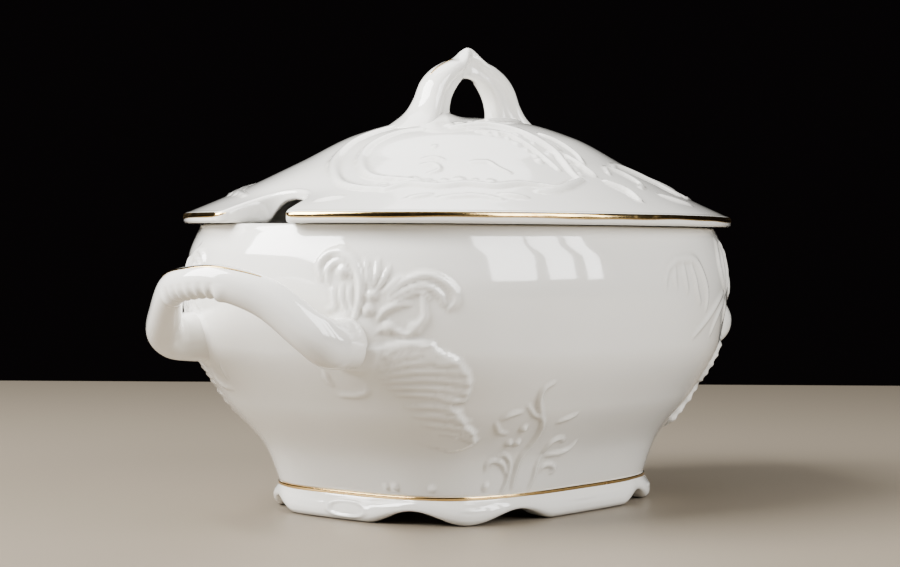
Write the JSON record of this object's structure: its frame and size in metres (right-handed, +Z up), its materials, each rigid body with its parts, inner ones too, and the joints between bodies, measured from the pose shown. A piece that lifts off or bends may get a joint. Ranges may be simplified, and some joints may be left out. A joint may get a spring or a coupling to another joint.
{
  "type": "soup tureen",
  "caption": "Oval porcelain soup tureen on a scalloped foot, with loop handles at its ends and a lift-off domed lid with a ladle notch and a loop knob.",
  "frame": {"origin": "on the table, under the middle of the bowl", "axes": "+X along the oval, away from the lid's ladle notch; +Y across it; +Z up"},
  "size_m": [0.3358, 0.201, 0.1945],
  "materials": {
    "porcelain": "glossy white glaze",
    "gold": "burnished gold lines fired onto the glaze"
  },
  "bodies": {
    "tureen": {"bowl_shell": "porcelain", "foot_ring": "porcelain", "foot_gold_line": "gold", "left_handle": "porcelain", "left_handle_gold_line": "gold", "right_handle": "porcelain", "right_handle_gold_line": "gold"},
    "lid": {"lid_shell": "porcelain", "lid_flange": "porcelain", "lid_gold_line": "gold", "lid_knob": "porcelain", "knob_gold_line": "gold"}
  },
  "joints": [
    {"name": "lid_lift", "type": "slide", "parent": "tureen", "child": "lid", "axis": [0, 0, 1], "range_m": [0, 0.15]}
  ]
}
